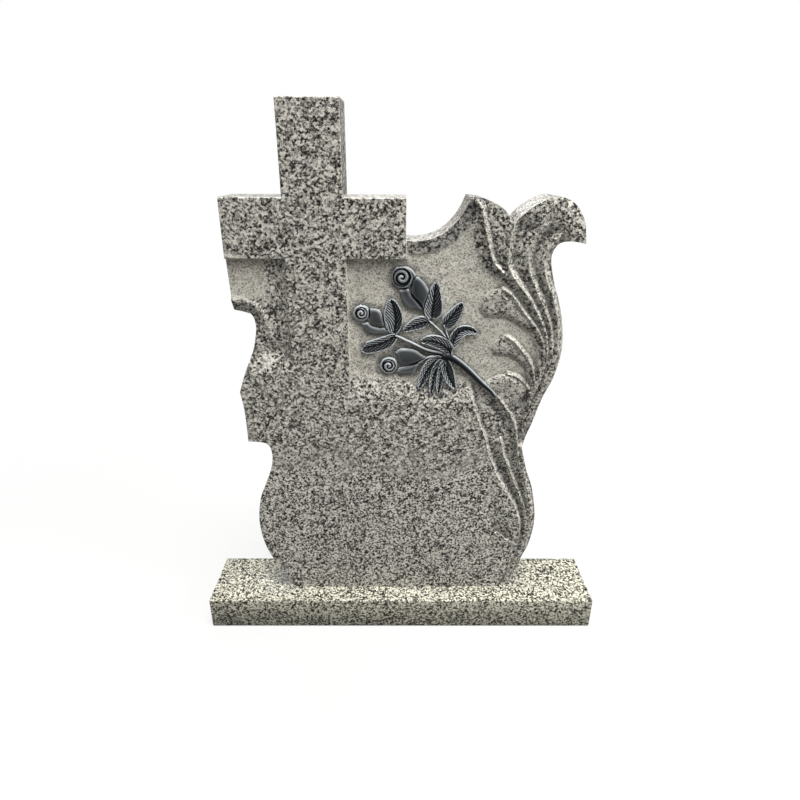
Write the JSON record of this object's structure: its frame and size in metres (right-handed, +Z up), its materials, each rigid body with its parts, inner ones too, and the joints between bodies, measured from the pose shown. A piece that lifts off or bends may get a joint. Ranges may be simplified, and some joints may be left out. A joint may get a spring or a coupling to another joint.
{
  "type": "granite cross headstone",
  "caption": "Upright granite grave marker carved as a Latin cross beside a feathered wing, with a rose spray on a sunk panel, on a low rectangular base.",
  "frame": {"origin": "middle of the underside of the base, on the ground", "axes": "+X to the viewer's right along the base's width, +Y from the carved front to the back, +Z up"},
  "size_m": [0.7, 0.12, 0.875],
  "materials": {
    "polished_granite": "polished speckled grey granite, with its sunk grounds dressed matt and its rose carving darkened and rubbed",
    "base_granite": "polished speckled grey granite"
  },
  "bodies": {
    "root": {"headstone": "polished_granite", "base": "base_granite"}
  },
  "joints": []
}
